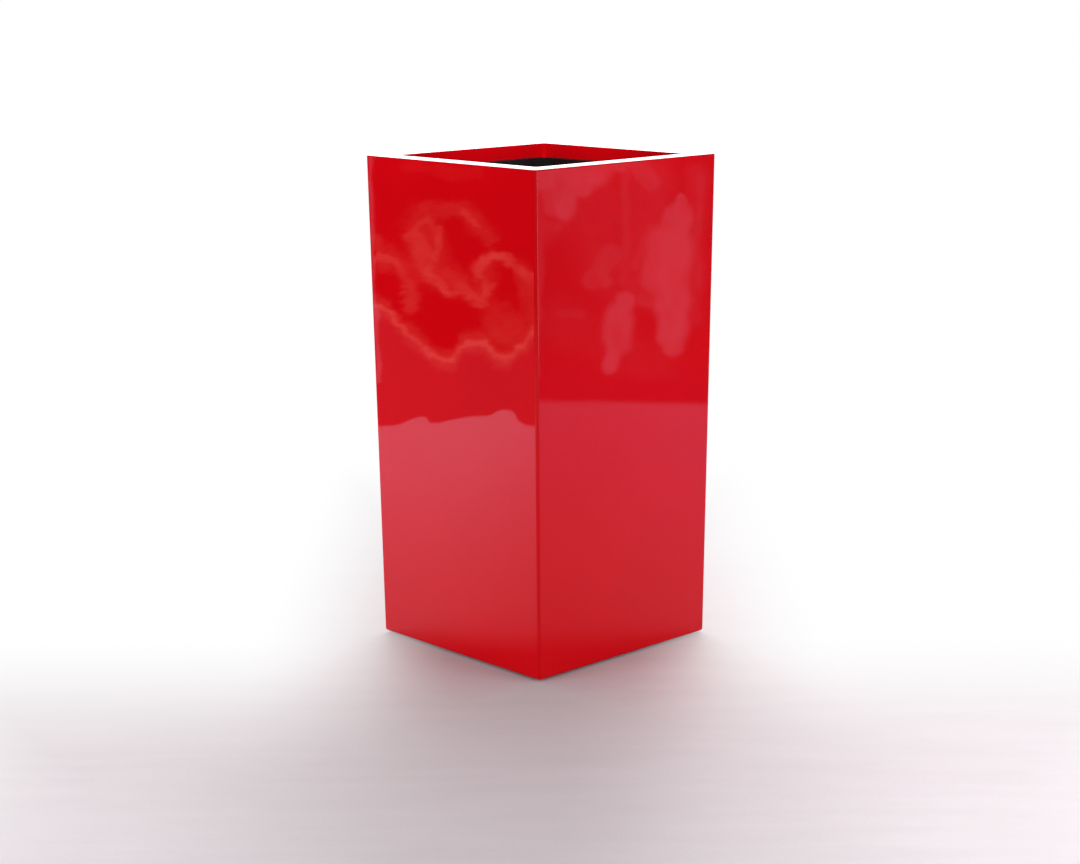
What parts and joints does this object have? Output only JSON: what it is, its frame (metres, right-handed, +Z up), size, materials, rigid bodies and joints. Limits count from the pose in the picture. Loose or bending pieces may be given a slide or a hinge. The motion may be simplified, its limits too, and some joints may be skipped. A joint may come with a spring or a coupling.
{
  "type": "floor planter",
  "caption": "Tall square floor planter: tapered glossy shell with an inward rim, lift-out liner with hinged handles, drain plug and rubber feet.",
  "frame": {"origin": "on the ground at the middle of the footprint", "axes": "+Z up, -Y towards the front; the two lift handles are on the left (-X) and right (+X) walls"},
  "size_m": [0.406, 0.406, 0.816],
  "materials": {
    "red_lacquer": "gloss",
    "black_liner": "satin",
    "bail_plastic": "satin",
    "soft_grip": "matte",
    "black_rubber": "matte"
  },
  "bodies": {
    "planter": {"shell": "red_lacquer", "ledge_frame": "red_lacquer", "foot_front_left": "black_rubber", "foot_front_right": "black_rubber", "foot_back_left": "black_rubber", "foot_back_right": "black_rubber"},
    "liner_body": {"liner": "black_liner"},
    "left_handle": {"lift_handle_left": "bail_plastic", "handle_grip_left": "soft_grip"},
    "right_handle": {"lift_handle_right": "bail_plastic", "handle_grip_right": "soft_grip"},
    "plug": {"drain_plug": "black_rubber"}
  },
  "joints": [
    {"name": "liner_lift", "type": "slide", "parent": "planter", "child": "liner_body", "axis": [0, 0, 1], "range_m": [0, 0.33]},
    {"name": "left_handle_swing", "type": "hinge", "parent": "liner_body", "child": "left_handle", "pos_m": [-0.1343, 0, 0.763], "axis": [0, -1, 0], "range_deg": [0, 180]},
    {"name": "right_handle_swing", "type": "hinge", "parent": "liner_body", "child": "right_handle", "pos_m": [0.1343, 0, 0.763], "axis": [0, 1, 0], "range_deg": [0, 180]},
    {"name": "drain_plug_pull", "type": "slide", "parent": "planter", "child": "plug", "axis": [0, 0, 1], "range_m": [0, 0.03]}
  ]
}
